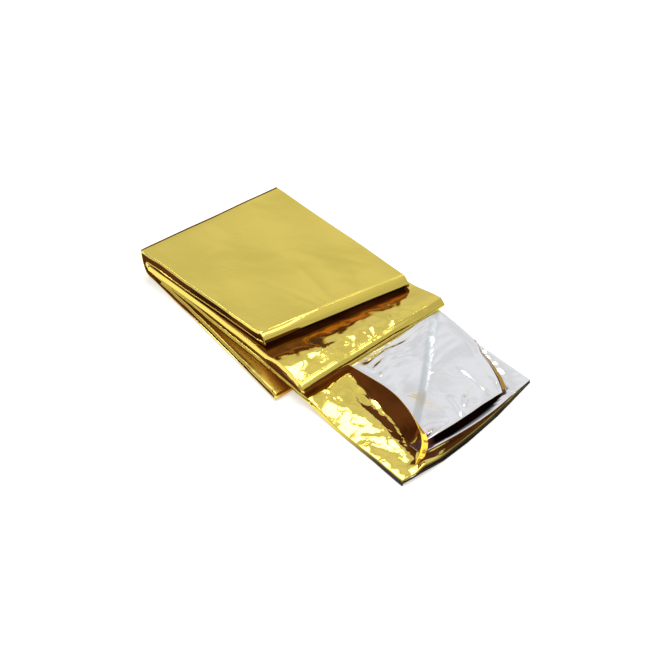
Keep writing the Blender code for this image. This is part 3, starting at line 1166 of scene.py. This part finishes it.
def makeCrinkleGroup():
    # small flat facets, as thin film has after it was crushed
    group = bpy.data.node_groups.new("filmCrinkle", "ShaderNodeTree")
    group.interface.new_socket("Cell Size", in_out="INPUT", socket_type="NodeSocketFloat")
    group.interface.new_socket("Amount", in_out="INPUT", socket_type="NodeSocketFloat")
    group.interface.new_socket("Height", in_out="OUTPUT", socket_type="NodeSocketFloat")
    given = group.nodes.new("NodeGroupInput")
    result = group.nodes.new("NodeGroupOutput")
    place = addNode(group, "TexCoord", "Object", {})
    perCell = calculate(group, "DIVIDE", 1000.0, given.outputs["Cell Size"])
    warp = addNode(group, "TexNoise", "Color", {"Scale": 120.0, "Detail": 2.0, "Vector": place})
    push = {0: warp, 1: (0.006, 0.006, 0.006), 2: place}
    push = addNode(group, "VectorMath", "Vector", push, operation="MULTIPLY_ADD")
    cells = addNode(group, "TexVoronoi", "Distance", {"Vector": push, "Scale": perCell},
                    feature="DISTANCE_TO_EDGE")
    ridge = mapRange(group, cells, 0.0, filmLook["ridgeWidth"], 1.0, 0.0)
    # not every crease is as deep
    depth = addNode(group, "TexNoise", "Fac", {"Scale": 90.0, "Vector": place})
    kept = mapRange(group, depth, 0.42, 0.62)
    ridges = calculate(group, "MULTIPLY", ridge, kept)
    height = calculate(group, "MULTIPLY", ridges, given.outputs["Amount"])
    group.links.new(height, result.inputs["Height"])
    return group


def makeFilm(name, colours, crinkle):
    material = bpy.data.materials.new(name)
    material.use_nodes = True
    tree = material.node_tree
    shader = tree.nodes["Principled BSDF"]
    shader.inputs["Metallic"].default_value = 1.0
    # handling leaves the film a little duller in patches
    place = addNode(tree, "TexCoord", "Object", {})
    patches = addNode(tree, "TexNoise", "Fac", {"Scale": 45.0, "Detail": 3.0, "Vector": place})
    rough = filmLook["roughness"]
    rough = mapRange(tree, patches, 0.35, 0.65, rough * 0.8, rough * 1.25)
    rough = {"Factor": attribute(tree, "haze"), "A": rough, "B": filmLook["creaseRoughness"]}
    rough = addNode(tree, "Mix", "Result", rough)
    base = blend(tree, patches, colours["plain"], [c * 0.95 for c in colours["plain"]])
    # duller film along the crease, and painted amber reflection
    for where in ("haze", "paintedReflection"):
        base = blend(tree, attribute(tree, where), base, colours[where])
    shaded = attribute(tree, "shaded")
    base = blend(tree, shaded, base, colours["shaded"])
    # painted shade in the folds: as other film sees it, the gold and its edge-on sheen are darker
    foldShadeAndGlow = attribute(tree, "foldShadeAndGlow")
    depth = addNode(tree, "LightPath", "Glossy Depth", {})
    inside = calculate(tree, "MULTIPLY", foldShadeAndGlow, calculate(tree, "GREATER_THAN", depth, 0.5))
    base = blend(tree, inside, base, colours["foldShadeAndGlow"])
    edgeOn = blend(tree, inside, (1.0, 1.0, 1.0), colours["edgeOn"])
    # between layers light goes on bouncing after its last counted bounce
    deep = calculate(tree, "GREATER_THAN", depth, colours["bounces"])
    glow = calculate(tree, "MULTIPLY", foldShadeAndGlow, deep)
    dimmed = calculate(tree, "MULTIPLY_ADD", shaded, -filmLook["dimming"], 1.0)
    glow = calculate(tree, "MULTIPLY", glow, dimmed)
    glow = calculate(tree, "MULTIPLY", glow, mapRange(tree, patches, 0.38, 0.62, 0.5, 1.5))
    small = tree.nodes.new("ShaderNodeGroup")
    small.node_tree = crinkle
    small.inputs["Cell Size"].default_value = filmLook["cell"]
    tree.links.new(attribute(tree, "crinkle"), small.inputs["Amount"])
    bump = {"Strength": 1.0, "Distance": filmLook["bumpHeight"] * mm,
            "Height": small.outputs["Height"]}
    normal = addNode(tree, "Bump", "Normal", bump)
    looks = {"Normal": normal, "Roughness": rough, "Base Color": base, "Specular Tint": edgeOn,
             "Emission Strength": glow}
    for name, socket in looks.items():
        tree.links.new(socket, shader.inputs[name])
    shader.inputs["Emission Color"].default_value = (*colours["deep"], 1.0)
    return material


studio = {
    "floorColour": (0.72, 0.72, 0.72),
    "floorSize": 6.0,
    "floorGlow": 0.46,
    "darkAir": (0.085, 0.042, 0.036),  # low down
    "amberAir": (0.75, 0.50, 0.12),  # between that and the bright air
    "edge": 0.13,  # how far up that goes
    "highFrom": 0.7,
    "overhead": 1.1,
    "backdrop": (1.2, 1.2, 1.2),
    "uneven": 0.09,
}
# Round the horizon, by bearing: how high the dark reaches, and how bright the air above it is
airRound = records(
    "bearing dark bright",
    (0.0, 0.36, 0.62),
    (45.0, 0.28, 0.62),
    (64.0, 0.02, 0.66),
    (100.0, -0.1, 0.80),
    (138.0, -0.1, 0.79),
    (146.0, 0.32, 0.78),
    (195.0, 0.32, 0.78),
    (212.0, 0.03, 0.63),
    (300.0, 0.05, 0.58),
    (360.0, 0.36, 0.62),
)
# They shine from this bearing and height; far, wide and tall are metres
softBoxes = records(
    "name bearing high far wide tall bright",
    ("leftBox", 154.0, 48.0, 1.8, 0.7, 0.42, 5.2),
    ("topBox", 120.0, 80.0, 2.0, 1.2, 1.2, 2.6),
    ("backBox", 111.0, 55.0, 1.8, 0.42, 0.28, 3.4),
)


def makeWorld():
    world = bpy.data.worlds.new("studioAir")
    world.use_nodes = True
    bpy.context.scene.world = world
    tree = world.node_tree
    background = tree.nodes["Background"]
    place = addNode(tree, "TexCoord", "Generated", {})
    split = tree.nodes.new("ShaderNodeSeparateXYZ")
    tree.links.new(place, split.inputs["Vector"])
    bearing = calculate(tree, "ARCTAN2", split.outputs["Y"], split.outputs["X"])
    bearing = calculate(tree, "FRACT", calculate(tree, "DIVIDE", bearing, 2.0 * math.pi))
    around = {}
    for what in ("dark", "bright"):
        node = tree.nodes.new("ShaderNodeValToRGB")
        node.color_ramp.interpolation = "EASE"
        while len(node.color_ramp.elements) < len(airRound):
            node.color_ramp.elements.new(0.5)
        for element, stop in zip(node.color_ramp.elements, airRound):
            element.position = stop["bearing"] / 360.0
            element.color = (stop[what], stop[what], stop[what], 1.0)
        tree.links.new(bearing, node.inputs["Fac"])
        around[what] = node.outputs["Color"]
    # dark low down, then amber, then the bright air
    height = split.outputs["Z"]
    soft = {"interpolation_type": "SMOOTHSTEP"}
    edge = calculate(tree, "ADD", around["dark"], studio["edge"])
    above = mapRange(tree, height, around["dark"], edge, **soft)
    air = blend(tree, mapRange(tree, above, 0.0, 0.5), studio["darkAir"], studio["amberAir"])
    high = (studio["highFrom"], 1.0, around["bright"], studio["overhead"])
    high = mapRange(tree, height, *high, **soft)
    air = blend(tree, mapRange(tree, above, 0.5, 1.0), air, high)
    # cloth and card round the set are not quite even
    patches = addNode(tree, "TexNoise", "Fac", {"Scale": 5.0, "Detail": 1.0, "Vector": place})
    uneven = studio["uneven"]
    uneven = mapRange(tree, patches, 0.35, 0.65, 1.0 - uneven, 1.0 + uneven)
    tree.links.new(uneven, background.inputs["Strength"])
    # straight behind the blanket there is a plain pale backdrop
    direct = addNode(tree, "LightPath", "Is Camera Ray", {})
    tree.links.new(blend(tree, direct, air, studio["backdrop"]), background.inputs["Color"])


def makeFloor():
    half = studio["floorSize"] / 2.0
    mesh = bpy.data.meshes.new("floor")
    corners = [(-half, -half, 0.0), (half, -half, 0.0), (half, half, 0.0), (-half, half, 0.0)]
    mesh.from_pydata(corners, [], [(0, 1, 2, 3)])
    floor = addObject("floor", mesh)
    material = bpy.data.materials.new("paleFloor")
    material.use_nodes = True
    shader = material.node_tree.nodes["Principled BSDF"]
    looks = {"Base Color": (*studio["floorColour"], 1.0), "Roughness": 0.9,
             "Specular IOR Level": 0.0, "Emission Color": (1.0, 1.0, 1.0, 1.0),
             "Emission Strength": studio["floorGlow"]}
    for name, value in looks.items():
        shader.inputs[name].default_value = value
    mesh.materials.append(material)
    floor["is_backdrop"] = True
    return floor


def towards(bearing, high):
    a = math.radians(bearing)
    h = math.radians(high)
    return Vector((math.cos(a) * math.cos(h), math.sin(a) * math.cos(h), math.sin(h)))


def makeLights():
    for box in softBoxes:
        light = bpy.data.lights.new(box["name"], "AREA")
        light.shape = "RECTANGLE"
        light.size = box["wide"]
        light.size_y = box["tall"]
        light.energy = box["bright"] * math.pi * box["wide"] * box["tall"]
        lamp = addObject(box["name"], light)
        way = towards(box["bearing"], box["high"])
        lamp.location = way * box["far"]
        lamp.rotation_euler = way.to_track_quat("Z", "Y").to_euler()


cameraSet = {
    "bearing": 141.21,  # that it looks along
    "down": 34.107,
    "distance": 2000.0,
    "target": (120.0, 50.0, 8.0),
    "pixelsPerMm": 1.7997,
    "pixelsRight": 5.93,
    "pixelsUp": 14.8,
    "frame": 671.0,
}


def makeCamera():
    s = cameraSet
    a = math.radians(s["bearing"])
    e = math.radians(s["down"])
    ahead = Vector((math.cos(a) * math.cos(e), math.sin(a) * math.cos(e), -math.sin(e)))
    right = Vector((math.sin(a), -math.cos(a), 0.0))
    up = right.cross(ahead)
    target = Vector(s["target"]) - Vector((pack["centreX"], pack["centreY"], 0.0))
    aim = target - right * (s["pixelsRight"] / s["pixelsPerMm"])
    aim = aim - up * (s["pixelsUp"] / s["pixelsPerMm"])
    place = (aim - ahead * s["distance"]) * mm
    data = bpy.data.cameras.new("camera")
    data.sensor_width = 36.0
    data.lens = s["pixelsPerMm"] * s["distance"] / s["frame"] * data.sensor_width
    data.clip_start = 0.05
    data.clip_end = 20.0
    camera = addObject("camera", data)
    turn = Matrix((right, up, -ahead)).transposed()
    camera.matrix_world = Matrix.Translation(place) @ turn.to_4x4()
    bpy.context.scene.camera = camera


bpy.context.scene.view_settings.view_transform = "Standard"
makeCamera()
makeWorld()
makeLights()
floor = makeFloor()
print("stage set")

blanket = makeBlanket()
crinkleGroup = makeCrinkleGroup()
gold = makeFilm("goldFilm", goldColours, crinkleGroup)
silver = makeFilm("silverFilm", silverColours, crinkleGroup)
blanket.data.materials.append(gold)
blanket.data.materials.append(silver)
solid = blanket.modifiers.new("filmThickness", "SOLIDIFY")
solid.thickness = film["thickness"] * mm
solid.offset = 0.0
solid.material_offset = 1
print("film finished")

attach(blanket, "root")
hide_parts("foil_blanket")

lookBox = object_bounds()
sizes = {"cad": [list(corner) for corner in cadBox], "look": [list(corner) for corner in lookBox]}
